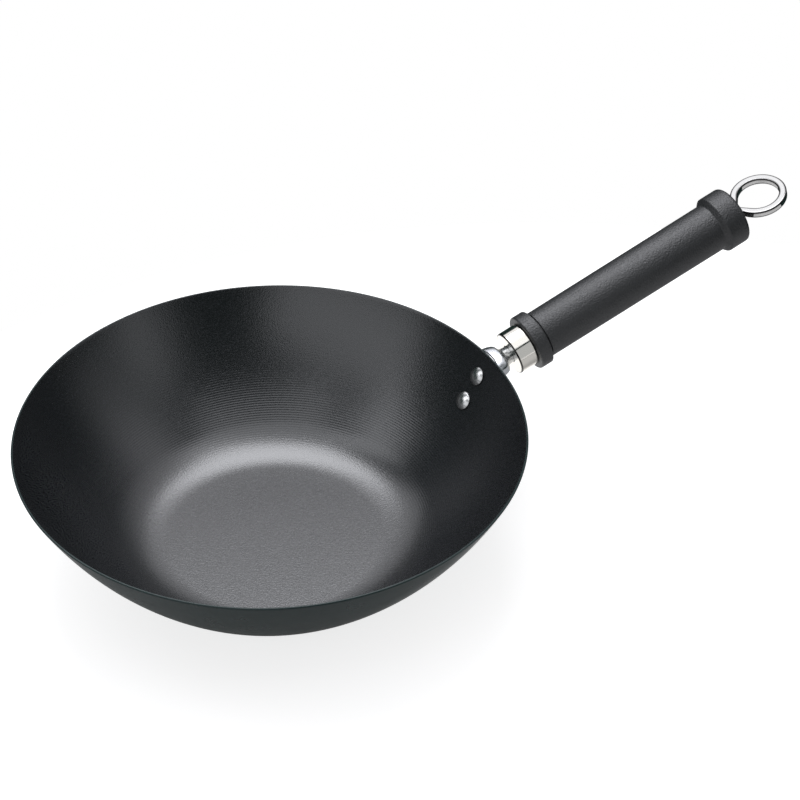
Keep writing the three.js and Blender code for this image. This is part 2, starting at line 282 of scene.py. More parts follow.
def new_tree(name, inputs):
    """A geometry node tree with named inputs, each of a given kind, and a mesh as its output."""
    tree = bpy.data.node_groups.new(name, "GeometryNodeTree")
    for label, kind in inputs.items():
        tree.interface.new_socket(label, in_out="INPUT", socket_type="NodeSocket" + kind)
    tree.interface.new_socket("Mesh", in_out="OUTPUT", socket_type="NodeSocketGeometry")
    return tree, add_node(tree, "NodeGroupInput").outputs


def end_tree(tree, geometry, finish):
    """Ends a geometry node tree: its instances become real, and all of it takes one finish."""
    whole = add_node(tree, "GeometryNodeRealizeInstances", {"Geometry": geometry})
    painted = add_node(tree, "GeometryNodeSetMaterial", {"Geometry": whole, "Material": finish})
    add_node(tree, "NodeGroupOutput", {"Mesh": painted})
    return tree


def new_material(name):
    """A node material without a shader yet, its tree, and the place on the piece that its patterns follow."""
    material = bpy.data.materials.new(name)
    material.use_nodes = True
    tree = material.node_tree
    tree.nodes.clear()
    return material, tree, add_node(tree, "ShaderNodeTexCoord").outputs["Object"]


def end_material(tree, inputs):
    """Ends a material's tree with its shader."""
    shader = add_node(tree, "ShaderNodeBsdfPrincipled", inputs)
    add_node(tree, "ShaderNodeOutputMaterial", {"Surface": shader})


def per_metre(millimetres):
    """Texture scale for a pattern whose grain measures that many millimetres."""
    return 1 / (millimetres * MM)


# Finishes


def add_grain(tree, place, grain, depth, roughness, detail):
    """A grain of a size and depth in millimetres: a shader's normal and a roughness that varies with it."""
    spread = {"Vector": place, "Scale": per_metre(grain), "Detail": detail}
    wave = add_node(tree, "ShaderNodeTexNoise", spread)
    bump = add_node(tree, "ShaderNodeBump", {"Height": wave, "Distance": depth * MM, "Strength": 1})
    low, high = roughness
    rough = add_node(tree, "ShaderNodeMapRange", {"Value": wave, "To Min": low, "To Max": high})
    return {"Normal": bump, "Roughness": rough}


def turned_lines(tree, place, wall):
    """Fine rings that the spinning left round the wall: their height, and the band that they lie in."""
    axes = add_node(tree, "ShaderNodeSeparateXYZ", {"Vector": place}).outputs
    flat = add_node(tree, "ShaderNodeCombineXYZ", {"X": axes["X"], "Y": axes["Y"]})
    radius = add_node(tree, "ShaderNodeVectorMath", {0: flat}, operation="LENGTH").outputs["Value"]
    aside = add_node(tree, "ShaderNodeMath", {0: radius, 1: wall.centre.x}, operation="SUBTRACT")
    below = add_node(tree, "ShaderNodeMath", {0: wall.centre.y, 1: axes["Z"]}, operation="SUBTRACT")
    turn = add_node(tree, "ShaderNodeMath", {0: aside, 1: below}, operation="ARCTAN2")
    # The band starts on the fillet and fades out a little over halfway up the wall
    band = 1.0
    for start, end in ((36, 41), (55, 44)):
        fade = {"Value": turn, "From Min": math.radians(start), "From Max": math.radians(end)}
        share = add_node(tree, "ShaderNodeMapRange", fade, interpolation_type="SMOOTHSTEP")
        band = add_node(tree, "ShaderNodeMath", {0: share, 1: band}, operation="MULTIPLY")
    # The rings lie 1.35 mm apart up the wall
    waves = 2 * math.pi * wall.bow * per_metre(1.35)
    phase = add_node(tree, "ShaderNodeMath", {0: turn, 1: waves}, operation="MULTIPLY")
    wave = add_node(tree, "ShaderNodeMath", {0: phase}, operation="SINE")
    lines = add_node(tree, "ShaderNodeMath", {0: wave, 1: band}, operation="MULTIPLY")
    return lines, band


def coat_material(colours, wall):
    """Non-stick coat, sprayed and baked: nearly black and satin, with lighter flecks, the steel's rings and a
    painted highlight along their ridges.
    """
    material, tree, place = new_material("nonstick_coat_sprayed")
    # The grit is about 0.3 mm, too fine to show, so it is drawn at 0.75 mm
    grit = add_node(tree, "ShaderNodeTexNoise", {"Vector": place, "Scale": per_metre(0.75), "Detail": 1})
    lines, band = turned_lines(tree, place, wall)
    grooves = add_node(tree, "ShaderNodeBump", {"Height": lines, "Distance": 0.015 * MM, "Strength": 1})
    # The coat lies smoother where the spinning left rings
    calm = add_node(tree, "ShaderNodeMapRange", {"Value": band, "To Min": 1, "To Max": 0.4})
    rise = add_node(tree, "ShaderNodeMath", {0: grit, 1: calm}, operation="MULTIPLY")
    pits = {"Height": rise, "Distance": 0.075 * MM, "Strength": 1, "Normal": grooves}
    pitted = add_node(tree, "ShaderNodeBump", pits)
    rough = add_node(tree, "ShaderNodeMapRange", {"Value": grit, "To Min": 0.22, "To Max": 0.32})
    flecks = add_node(tree, "ShaderNodeMapRange", {"Value": grit, "From Min": 0.5, "From Max": 0.75})
    # The ridges of the rings are painted nearly as light as the flecks: a painted highlight where light would
    # catch them
    highlight_and_flecks = add_node(tree, "ShaderNodeMath", {0: lines, 1: 0.8, 2: flecks}, operation="MULTIPLY_ADD")
    mixes = {MIX_SHARE: highlight_and_flecks, MIX_FIRST: (*colours.coat, 1), MIX_SECOND: (*colours.fleck, 1)}
    shade = add_node(tree, "ShaderNodeMix", mixes, data_type="RGBA").outputs[MIX_RESULT]
    end_material(tree, {"Base Color": shade, "Normal": pitted, "Roughness": rough, "IOR": 1.95})
    return material


def enamel_material(colours):
    """Heat-proof enamel, sprayed and baked: a dull green-grey paint with a slight orange peel."""
    material, tree, place = new_material("heatproof_enamel_sprayed")
    peel = add_node(tree, "ShaderNodeTexNoise", {"Vector": place, "Scale": per_metre(1.6), "Detail": 1})
    bump = add_node(tree, "ShaderNodeBump", {"Height": peel, "Distance": 0.02 * MM, "Strength": 1})
    cloud = add_node(tree, "ShaderNodeTexNoise", {"Vector": place, "Scale": per_metre(14), "Detail": 2})
    rough = add_node(tree, "ShaderNodeMapRange", {"Value": cloud, "To Min": 0.24, "To Max": 0.34})
    end_material(tree, {"Base Color": (*colours.enamel, 1), "Normal": bump, "Roughness": rough, "IOR": 1.5})
    return material


def plated_material(name, metal, grain, roughness, depth):
    """A bright plated metal: a mirror softened by the grain under it, with painted shade that makes its rounded
    edges dark.
    """
    material, tree, place = new_material(name)
    surface = add_grain(tree, place, grain, depth, roughness, detail=2)
    # Rounded edges get painted shade: the colour drops to a small share there, standing in for the dark they
    # would mirror
    edge_shade = add_node(tree, "ShaderNodeAttribute", attribute_name=EDGE_SHADE_ATTRIBUTE).outputs["Fac"]
    shaded_metal = [share * EDGE_SHADE_SHARE for share in metal]
    mixes = {MIX_SHARE: edge_shade, MIX_FIRST: (*metal, 1), MIX_SECOND: (*shaded_metal, 1)}
    shade = add_node(tree, "ShaderNodeMix", mixes, data_type="RGBA").outputs[MIX_RESULT]
    end_material(tree, {"Base Color": shade, "Metallic": 1, **surface})
    return material


def phenolic_material(colours):
    """Moulded phenolic: black, with the fine matte texture of a blasted mould."""
    material, tree, place = new_material("phenolic_moulded")
    # The mould's texture is about 0.3 mm, so it is drawn at 0.9 mm to show
    surface = add_grain(tree, place, grain=0.9, depth=0.32, roughness=(0.42, 0.56), detail=1)
    end_material(tree, {"Base Color": (*colours.phenolic, 1), "IOR": 1.8, **surface})
    return material


def floor_material(studio, colours, centre, patch):
    """Matte paper floor, lifted to white for the camera. Shiny surfaces see one bright patch of it."""
    material, tree, place = new_material("studio_paper")
    rays = add_node(tree, "ShaderNodeLightPath").outputs
    direct = add_node(tree, "ShaderNodeMath", {0: rays["Is Camera Ray"], 1: rays["Is Transmission Ray"]})
    ends = {0: place, 1: patch}
    aside = add_node(tree, "ShaderNodeVectorMath", ends, operation="DISTANCE").outputs["Value"]
    reach = {"From Min": studio.patch_inner, "From Max": studio.patch_outer}
    fade = {"Value": aside, **reach, "To Min": 1, "To Max": studio.floor_dim}
    bright = add_node(tree, "ShaderNodeMapRange", fade, interpolation_type="SMOOTHSTEP")
    shares = {0: rays["Is Glossy Ray"], 1: bright, 2: direct}
    seen = add_node(tree, "ShaderNodeMath", shares, operation="MULTIPLY_ADD")
    ends = {0: place, 1: centre}
    away = add_node(tree, "ShaderNodeVectorMath", ends, operation="DISTANCE").outputs["Value"]
    reach = {"From Min": studio.floor_radius / 2, "From Max": studio.floor_radius}
    fade = {"Value": away, **reach, "To Min": studio.floor_glow, "To Max": 1}
    glow = add_node(tree, "ShaderNodeMapRange", fade, interpolation_type="SMOOTHSTEP")
    lift = add_node(tree, "ShaderNodeMath", {0: seen, 1: glow}, operation="MULTIPLY")
    paper = {"Base Color": (*colours.floor, 1), "Roughness": 1, "Specular IOR Level": 0}
    end_material(tree, {**paper, "Emission Color": (1, 1, 1, 1), "Emission Strength": lift})
    return material


# The bowl's wall line


def round_point(centre, radius, turn):
    """Point round a centre, its turn counted from straight down."""
    return Vector((centre.x + radius * math.sin(turn), centre.y - radius * math.cos(turn)))


class WallLine:
    """The arcs of the bowl's outer face: a base fillet and a bowed wall that is tangent to it."""

    def __init__(self, bowl):
        self.bow = bowl.wall_bow
        fillet_centre = Vector((bowl.base_radius, bowl.base_fillet))
        rim = Vector((bowl.rim_radius, bowl.height))
        towards = rim - fillet_centre
        span = towards.length
        inner = bowl.wall_bow - bowl.base_fillet
        along = (inner**2 - bowl.wall_bow**2 + span**2) / (2 * span)
        aside = math.sqrt(inner**2 - along**2)
        towards /= span
        self.centre = fillet_centre + along * towards + aside * Vector((-towards.y, towards.x))
        self.foot = self.turn_of(fillet_centre)
        self.rim = self.turn_of(rim)

    def turn_of(self, point):
        """Turn of a point round the wall's centre, counted from straight down."""
        return math.atan2(point.x - self.centre.x, self.centre.y - point.y)

    def turn_at(self, from_rim):
        """Turn of a spot on the wall, by its distance from the rim along the wall."""
        return self.rim - from_rim / self.bow

    def point_at(self, from_rim, outside=0.0):
        """Radius and height of a spot that lies outside the wall's outer face by a distance."""
        return round_point(self.centre, self.bow + outside, self.turn_at(from_rim))

    def radius_at(self, height, outside=0.0):
        """Radius of a face that lies outside the wall's outer face, at a height on the wall."""
        bow = self.bow + outside
        return self.centre.x + math.sqrt(bow**2 - (self.centre.y - height) ** 2)


def handle_placement(settings):
    """Carries +X along the handle, from where its axis leaves the wall."""
    spot = WallLine(settings.bowl).point_at(settings.handle.axis_from_rim)
    return Matrix.Translation((spot.x, 0, spot.y)) @ Matrix.Rotation(-settings.handle.climb, 4, "Y")


# Meshes


def new_object(name, mesh):
    """A new object at the origin, in the scene."""
    piece = bpy.data.objects.new(name, mesh)
    bpy.context.scene.collection.objects.link(piece)
    return piece


def add_modifier(piece, kind, **settings):
    """Adds a modifier with its settings."""
    modifier = piece.modifiers.new(kind.title(), kind)
    for name, value in settings.items():
        setattr(modifier, name, value)
    return modifier


def add_tree(piece, tree, values):
    """Adds a geometry node tree to an object and sets its named inputs by their identifiers."""
    modifier = add_modifier(piece, "NODES", node_group=tree)
    sockets = {item.name: item.identifier for item in tree.interface.items_tree if item.in_out == "INPUT"}
    for name, value in values.items():
        modifier[sockets[name]] = value


def settle(piece):
    """Turns an object and its modifiers into a plain mesh whose faces point outwards."""
    graph = bpy.context.evaluated_depsgraph_get()
    mesh = bpy.data.meshes.new_from_object(piece.evaluated_get(graph), depsgraph=graph)
    piece.modifiers.clear()
    piece.data = mesh
    work = bmesh.new()
    work.from_mesh(mesh)
    bmesh.ops.recalc_face_normals(work, faces=work.faces)
    work.to_mesh(mesh)
    work.free()


def mark_shaded_edges(piece):
    """Marks the points on rounded edges, where the faces bend a little, for the finishes to paint dark as
    shade.
    """
    work = bmesh.new()
    work.from_mesh(piece.data)
    layer = work.verts.layers.float.new(EDGE_SHADE_ATTRIBUTE)
    for point in work.verts:
        bends = [edge.calc_face_angle(0) for edge in point.link_edges]
        point[layer] = float(any(ROUNDED < bend < SHARP for bend in bends))
    work.to_mesh(piece.data)
    work.free()


def finish_piece(piece, nodes, material=None, sharp=None):
    """Gives a settled piece its finish and its shading, marks its rounded edges for painted shade when given a
    sharp angle, and puts it in the place of its CAD nodes.
    """
    if material:
        piece.data.materials.clear()
        piece.data.materials.append(material)
    piece.data.shade_smooth()
    if sharp:
        piece.data.set_sharp_from_angle(angle=sharp)
        mark_shaded_edges(piece)
    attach(piece, BODY)
    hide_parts(*nodes)


def rounded(points, steps=6, margin=0.2 * MM):
    """An outline of (x, y, rounding) corners, each turned to an arc with a point just before and after it."""
    line = []
    for index, (x, y, rounding) in enumerate(points):
        corner = Vector((x, y))
        if not rounding:
            line.append(corner)
            continue
        before = (Vector(points[index - 1][:2]) - corner).normalized()
        after = (Vector(points[(index + 1) % len(points)][:2]) - corner).normalized()
        half = before.angle(after) / 2
        reach = rounding / math.tan(half)
        centre = corner + (before + after).normalized() * rounding / math.sin(half)
        start = corner + before * reach - centre
        end = corner + after * reach - centre
        sweep = math.atan2(start.x * end.y - start.y * end.x, start.dot(end))
        line.append(corner + before * (reach + margin))
        for step in range(steps + 1):
            line.append(centre + Matrix.Rotation(sweep * step / steps, 2) @ start)
        line.append(corner + after * (reach + margin))
    return line


def turned_tree():
    """Node group that turns a profile of radius and height round the Z axis."""
    tree, given = new_tree("Turned profile", {"Profile": "Geometry", "Sides": "Int"})
    # The path is a small circle, so the profile is moved in by the circle's radius
    small = 1 * MM
    move = {"Geometry": given["Profile"], "Translation": (-small, 0, 0), "Scale": (1, -1, 1)}
    shifted = add_node(tree, "GeometryNodeTransform", move)
    path = {"Resolution": given["Sides"], "Radius": small}
    circle = add_node(tree, "GeometryNodeCurvePrimitiveCircle", path)
    upright = add_node(tree, "GeometryNodeSetCurveNormal", {"Curve": circle}, mode="Z_UP")
    swept = add_node(tree, "GeometryNodeCurveToMesh", {"Curve": upright, "Profile Curve": shifted})
    closed = add_node(tree, "GeometryNodeMergeByDistance", {"Geometry": swept, "Distance": WELD})
    add_node(tree, "NodeGroupOutput", {"Mesh": closed})
    return tree


def lathe_tree():
    """Geometry nodes that turn a wire outline, drawn as radius and height, round the Z axis."""
    tree, given = new_tree("Turned outline", {"Outline": "Geometry", "Sides": "Int", "Finish": "Material"})
    profile = add_node(tree, "GeometryNodeMeshToCurve", {"Mesh": given["Outline"]})
    inputs = {"Profile": profile, "Sides": given["Sides"]}
    turned = add_node(tree, "GeometryNodeGroup", inputs, node_tree=turned_tree())
    return end_tree(tree, turned, given["Finish"])


def turned_piece(name, outline, closed, sides, finish):
    """A piece turned round the Z axis from an outline of radius and height, its modifier still live."""
    mesh = bpy.data.meshes.new(name)
    last = len(outline) if closed else len(outline) - 1
    edges = [(index, (index + 1) % len(outline)) for index in range(last)]
    mesh.from_pydata([(point.x, point.y, 0) for point in outline], edges, [])
    piece = new_object(name, mesh)
    add_tree(piece, lathe_tree(), {"Sides": sides, "Finish": finish})
    return piece


def settle_along(piece, placement):
    """Settles a turned piece and lays its axis along a placement's +X."""
    settle(piece)
    piece.data.transform(placement @ Matrix.Rotation(QUARTER, 4, "Y"))


def grid_faces(rows, columns, first=0, closed=False):
    """Quads between rows of points that were listed one row after another."""
    faces = []
    for row in range(rows if closed else rows - 1):
        here = first + row * columns
        there = first + (row + 1) % rows * columns
        for column in range(columns if closed else columns - 1):
            beside = (column + 1) % columns
            faces.append((here + column, here + beside, there + beside, there + column))
    return faces


# The bowl and its rivets


def bowl_tree(flat_points=12, arc_points=40):
    """Geometry nodes of the bowl's outer face: base, fillet and wall as one profile, turned round Z."""
    values = ["Base Radius", "Base Fillet", "Foot Turn", "Wall Bow", "Rim Turn"]
    kinds = {"Wall Centre": "Vector", "Sides": "Int", "Finish": "Material"}
    tree, given = new_tree("Spun bowl", {**{name: "Float" for name in values}, **kinds})
    edge = add_node(tree, "ShaderNodeCombineXYZ", {"X": given["Base Radius"]})
    floor = add_node(tree, "GeometryNodeCurvePrimitiveLine", {"End": edge})
    base = add_node(tree, "GeometryNodeResampleCurve", {"Curve": floor, "Count": flat_points})
    hub = add_node(tree, "ShaderNodeCombineXYZ", {"X": given["Base Radius"], "Y": given["Base Fillet"]})
    # An arc's angles are counted from +X, and the wall's turns from straight down
    start = add_node(tree, "ShaderNodeMath", {0: given["Foot Turn"], 1: QUARTER}, operation="SUBTRACT")
    turns = {0: given["Rim Turn"], 1: given["Foot Turn"]}
    sweep = add_node(tree, "ShaderNodeMath", turns, operation="SUBTRACT")
    joined = add_node(tree, "GeometryNodeJoinGeometry")
    tree.links.new(base.outputs[0], joined.inputs[0])
    arcs = [
        (given["Base Fillet"], -QUARTER, given["Foot Turn"], hub),
        (given["Wall Bow"], start, sweep, given["Wall Centre"]),
    ]
    for radius, begin, turn, centre in arcs:
        shape = {"Radius": radius, "Start Angle": begin, "Sweep Angle": turn, "Resolution": arc_points}
        arc = add_node(tree, "GeometryNodeCurveArc", shape, mode="RADIUS")
        placed = add_node(tree, "GeometryNodeTransform", {"Geometry": arc, "Translation": centre})
        tree.links.new(placed.outputs[0], joined.inputs[0])
    wire = add_node(tree, "GeometryNodeCurveToMesh", {"Curve": joined})
    welded = add_node(tree, "GeometryNodeMergeByDistance", {"Geometry": wire, "Distance": WELD})
    profile = add_node(tree, "GeometryNodeMeshToCurve", {"Mesh": welded})
    inputs = {"Profile": profile, "Sides": given["Sides"]}
    turned = add_node(tree, "GeometryNodeGroup", inputs, node_tree=turned_tree())
    return end_tree(tree, turned, given["Finish"])


class WOK_OT_bowl(bpy.types.Operator):
    """Spins the bowl, enamelled outside and coated inside."""

    bl_idname = "wok.bowl"
    bl_label = "Bowl"

    def execute(self, context):
        settings = context.scene.wok
        bowl = settings.bowl
        wall = WallLine(bowl)
        piece = new_object("spun_bowl", bpy.data.meshes.new("spun_bowl"))
        values = {
            "Base Radius": bowl.base_radius,
            "Base Fillet": bowl.base_fillet,
            "Foot Turn": wall.foot,
            "Wall Bow": bowl.wall_bow,
            "Rim Turn": wall.rim,
            "Wall Centre": wall.centre.to_3d(),
            "Sides": bowl.sides,
            "Finish": enamel_material(settings.colours),
        }
        add_tree(piece, bowl_tree(), values)
        settle(piece)
        piece.data.materials.append(coat_material(settings.colours, wall))
        # The sheet's thickness goes inwards, and its inner face takes the second finish
        add_modifier(piece, "SOLIDIFY", thickness=bowl.sheet, offset=-1, material_offset=1)
        edges = {"limit_method": "ANGLE", "angle_limit": QUARTER / 2}
        add_modifier(piece, "BEVEL", width=bowl.sheet / 3, segments=3, **edges)
        settle(piece)
        finish_piece(piece, ["bowl"])
        return {"FINISHED"}


def rivet_tree():
    """Geometry nodes of the rivet row: the rivet that comes in is set along the wall's arc, square to it."""
    values = ["Wall Bow", "First Turn", "Row Sweep"]
    kinds = {"Rivet": "Geometry", "Count": "Int", "Wall Centre": "Vector", "Finish": "Material"}
    tree, given = new_tree("Rivet row", {**kinds, **{name: "Float" for name in values}})
    start = add_node(tree, "ShaderNodeMath", {0: given["First Turn"], 1: QUARTER}, operation="SUBTRACT")
    shape = {
        "Radius": given["Wall Bow"],
        "Start Angle": start,
        "Sweep Angle": given["Row Sweep"],
        "Resolution": given["Count"],
    }
    row = add_node(tree, "GeometryNodeCurveArc", shape, mode="RADIUS")
    upright = add_node(tree, "GeometryNodeTransform", {"Geometry": row, "Rotation": (QUARTER, 0, 0)})
    spots = add_node(tree, "GeometryNodeCurveToPoints", {"Curve": upright}, mode="EVALUATED")
    # Seen from the arc's centre, a spot's own position points straight out of the wall
    outward = add_node(tree, "GeometryNodeInputPosition")
    square = add_node(tree, "FunctionNodeAlignRotationToVector", {"Vector": outward}, axis="Z")
    inputs = {"Points": spots, "Instance": given["Rivet"], "Rotation": square}
    placed = add_node(tree, "GeometryNodeInstanceOnPoints", inputs)
    inputs = {"Geometry": placed, "Translation": given["Wall Centre"]}
    moved = add_node(tree, "GeometryNodeTransform", inputs)
    return end_tree(tree, moved, given["Finish"])


def dome(radius, rise, seat, way, steps=12):
    """Half outline of a low dome on a seat, from its thin edge, a sixth of its rise, to its top."""
    edge = rise / 6
    ball = (radius**2 + (rise - edge) ** 2) / (2 * (rise - edge))
    half = math.asin(radius / ball)
    outline = [Vector((radius, seat))]
    for step in range(steps + 1):
        turn = half * (1 - step / steps)
        height = rise - ball + ball * math.cos(turn)
        outline.append(Vector((ball * math.sin(turn), seat + way * height)))
    return outline


class WOK_OT_rivets(bpy.types.Operator):
    """Sets the rivets, their domed heads inside the bowl and their formed tails behind the bracket."""

    bl_idname = "wok.rivets"
    bl_label = "Rivets"

    def execute(self, context):
        settings = context.scene.wok
        rivets = settings.rivets
        wall = WallLine(settings.bowl)
        gap = settings.handle.gap
        head_seat = -settings.bowl.sheet - gap
        tail_seat = gap + settings.bracket.sheet + gap
        head = dome(rivets.head_radius, rivets.head_rise, head_seat, way=-1)
        shank = [Vector((rivets.shank_radius, seat)) for seat in (head_seat, tail_seat)]
        tail = dome(rivets.tail_radius, rivets.tail_rise, tail_seat, way=1)
        outline = [*reversed(head), *shank, *tail]
        metal = settings.colours.rivet
        finish = plated_material("rivet_aluminium_headed", metal, grain=2.2, roughness=(0.2, 0.3), depth=0.03)
        piece = turned_piece("wall_rivets", outline, closed=False, sides=rivets.sides, finish=finish)
        span = rivets.pitch * (rivets.count - 1) / settings.bowl.wall_bow
        values = {
            "Count": rivets.count,
            "Wall Bow": settings.bowl.wall_bow,
            "Wall Centre": Vector((wall.centre.x, 0, wall.centre.y)),
            "First Turn": wall.turn_at(rivets.from_rim),
            "Row Sweep": -span,
            "Finish": finish,
        }
        add_tree(piece, rivet_tree(), values)
        settle(piece)
        finish_piece(piece, ["rivet_upper", "rivet_lower"], sharp=SHARP)
        return {"FINISHED"}


# The bracket


def blend(first, second, share):
    """Value that lies that share of the way from the first to the second."""
    return first + (second - first) * share


def signed_power(value, power):
    """A power that keeps the value's sign. Below one, it squares the shoulders of a round section."""
    return math.copysign(abs(value) ** power, value)


def shoulder_end(settings):
    """Distance along the handle at which the channel's shoulder ends and the waist's hollow begins."""
    return settings.handle.ferrule_standoff - settings.bracket.waist_length


def arch_point(settings, distance, share):
    """Point in the channel's sheet, at a distance along the handle and a share of the way from lip to lip."""
    bracket = settings.bracket
    past_shoulder = distance - shoulder_end(settings)
    passed = min(max(1 + past_shoulder / bracket.shoulder_length, 0), 1)
    left = min(max(1 - past_shoulder / bracket.waist_fillet, 0), 1)
    drawn = blend(1 - math.sqrt(1 - passed**2), math.sqrt(1 - left**2), bracket.waist_share)
    middle = bracket.sheet / 2
    mouth = blend(bracket.mouth, bracket.neck_seam, drawn)
    power = 2 / blend(bracket.squareness, 2, drawn)
    turn = blend(mouth, 2 * math.pi - mouth, share)
    across = signed_power(math.sin(turn), power)
    up = signed_power(-math.cos(turn), power)
    height = bracket.rise if up > 0 else bracket.drop
    return Vector((
        distance,
        across * (blend(bracket.half_width, bracket.neck_radius, drawn) - middle),
        up * (blend(height, bracket.neck_radius, drawn) - middle),
    ))


def root_distance(settings, wall, placement, share, halvings=32):
    """Distance along the handle at which a line of the channel meets the middle of the pad's sheet."""
    outside = settings.handle.gap + settings.bracket.sheet / 2
    near = -settings.bracket.half_width
    far = shoulder_end(settings)
    for _ in range(halvings):
        middle = (near + far) / 2
        point = placement @ arch_point(settings, middle, share)
        if point.xy.length < wall.radius_at(point.z, outside):
            near = middle
        else:
            far = middle
    return near


def channel_points(settings, wall, placement, rows, columns):
    """Rows of points along the channel, from its root on the wall, over the shoulder and down the neck."""
    waist = shoulder_end(settings)
    neck_end = settings.handle.ferrule_standoff + settings.bracket.neck_reach
    shares = [column / (columns - 1) for column in range(columns)]
    roots = [root_distance(settings, wall, placement, share) for share in shares]
    stations = []
    for row in range(rows - 1):
        # The rows crowd where the shoulder ends and the hollow begins
        turn = math.pi * row / (rows - 2)
        near = math.sin(turn)
        hollow = waist + settings.bracket.waist_fillet * (1 - near)
        stations.append([blend(root, waist, near) if turn < QUARTER else hollow for root in roots])
    stations.append([neck_end] * columns)
    return [
        placement @ arch_point(settings, distance, share)
        for station in stations
        for distance, share in zip(station, shares)
    ]


def pad_points(settings, wall, rows, columns):
    """Rows of points up the riveting pad, from its round end to just below the rim."""
    bracket = settings.bracket
    outside = settings.handle.gap + bracket.sheet / 2
    end = settings.rivets.from_rim + settings.rivets.pitch * (settings.rivets.count - 1)
    top = settings.handle.axis_from_rim - bracket.rise
    points = []
    for row in range(rows):
        turn = min(QUARTER, math.pi * row / rows)
        climbed = max(0, 2 * row / (rows - 1) - 1)
        from_rim = blend(end + bracket.half_width * math.cos(turn), top, climbed)
        spot = wall.point_at(from_rim, outside)
        for column in range(columns):
            across = bracket.half_width * math.sin(turn) * (2 * column / (columns - 1) - 1)
            around = across / spot.x
            points.append(Vector((spot.x * math.cos(around), spot.x * math.sin(around), spot.y)))
    return points


class WOK_OT_bracket(bpy.types.Operator):
    """Forms the bracket: a pad pressed to the wall and a channel drawn in to a round neck, in one sheet."""

    bl_idname = "wok.bracket"
    bl_label = "Bracket"

    def execute(self, context):
        settings = context.scene.wok
        bracket = settings.bracket
        wall = WallLine(settings.bowl)
        placement = handle_placement(settings)
        rows, columns = 60, 61
        points = channel_points(settings, wall, placement, rows, columns)
        faces = grid_faces(rows, columns)
        points += pad_points(settings, wall, rows, columns)
        faces += grid_faces(rows, columns, first=rows * columns)
        mesh = bpy.data.meshes.new("formed_bracket")
        mesh.from_pydata(points, [], faces)
        piece = new_object("formed_bracket", mesh)
        add_modifier(piece, "WELD", merge_threshold=WELD)
        add_modifier(piece, "SOLIDIFY", thickness=bracket.sheet, offset=0, use_even_offset=True)
        # The remesh makes one skin of pad and channel, and the smoothing rolls its edges a little
        add_modifier(piece, "REMESH", mode="VOXEL", voxel_size=bracket.voxel)
        add_modifier(piece, "SMOOTH", factor=0.5, iterations=10)
        settle(piece)
        finish = plated_material(
            "steel_sheet_nickel_plated", settings.colours.nickel, grain=3, roughness=(0.2, 0.32), depth=0.1
        )
        finish_piece(piece, ["handle_bracket"], finish)
        return {"FINISHED"}


# The handle


class WOK_OT_ferrule(bpy.types.Operator):
    """Turns the ferrule, a drawn cup between the bracket's neck and the grip."""

    bl_idname = "wok.ferrule"
    bl_label = "Ferrule"

    def execute(self, context):
        settings = context.scene.wok
        handle = settings.handle
        front = handle.ferrule_standoff
        rear = front + handle.ferrule_length - handle.gap
        floor = front + handle.ferrule_sheet
        hole = settings.bracket.neck_radius + handle.gap
        inside = handle.ferrule_radius - handle.ferrule_sheet
        outline = rounded([
            (hole, front, 0),
            (handle.ferrule_radius, front, handle.ferrule_front_edge),
            (handle.ferrule_radius, rear, handle.ferrule_rear_edge),
            (inside, rear, 0),
            (inside, floor, 0),
            (hole, floor, 0),
        ])
        metal = settings.colours.warm_nickel
        finish = plated_material("ferrule_nickel_plated", metal, grain=7, roughness=(0.08, 0.16), depth=0.02)
        piece = turned_piece("drawn_ferrule", outline, closed=True, sides=handle.sides, finish=finish)
        settle_along(piece, handle_placement(settings))
        finish_piece(piece, ["ferrule"], sharp=SHARP)
        return {"FINISHED"}


class WOK_OT_grip(bpy.types.Operator):
    """Turns the grip: a collar, a slightly tapered barrel and a larger cap in one moulding."""

    bl_idname = "wok.grip"
    bl_label = "Grip"

    def execute(self, context):
        settings = context.scene.wok
        handle = settings.handle
        collar = handle.ferrule_standoff + handle.ferrule_length
        collar_rear = collar + handle.collar_length
        barrel = collar_rear + handle.groove_width
        rear = collar + handle.grip_length
        cap = rear - handle.cap_length
        slope = cap - (handle.cap_radius - handle.barrel_rear_radius)
        groove = handle.barrel_front_radius - handle.groove_depth
        bore = settings.eye.shank_radius + handle.gap
        neck_end = handle.ferrule_standoff + settings.bracket.neck_reach
        pocket_rear = neck_end + handle.gap + handle.nut_thickness + handle.gap
        spigot = handle.ferrule_radius - handle.ferrule_sheet - handle.gap
        spigot_front = handle.ferrule_standoff + handle.ferrule_sheet + handle.gap
        outline = rounded([
            (handle.nut_pocket, spigot_front, 0),
            (spigot, spigot_front, 0),
            (spigot, collar, 0),
            (handle.collar_radius, collar, handle.collar_front_edge),
            (handle.collar_radius, collar_rear, handle.collar_rear_edge),
            (groove, collar_rear, 0),
            (groove, barrel, 0),
            (handle.barrel_front_radius, barrel, handle.barrel_edge),
            (handle.barrel_rear_radius, slope, handle.cap_front_edge),
            (handle.cap_radius, cap, handle.cap_front_edge),
            (handle.cap_radius, rear, handle.cap_edge),
            (bore, rear, handle.bore_edge),
            (bore, pocket_rear, 0),
            (handle.nut_pocket, pocket_rear, 0),
        ])
        finish = phenolic_material(settings.colours)
        piece = turned_piece("moulded_grip", outline, closed=True, sides=handle.sides, finish=finish)
        settle_along(piece, handle_placement(settings))
        finish_piece(piece, ["grip"], sharp=SHARP)
        return {"FINISHED"}


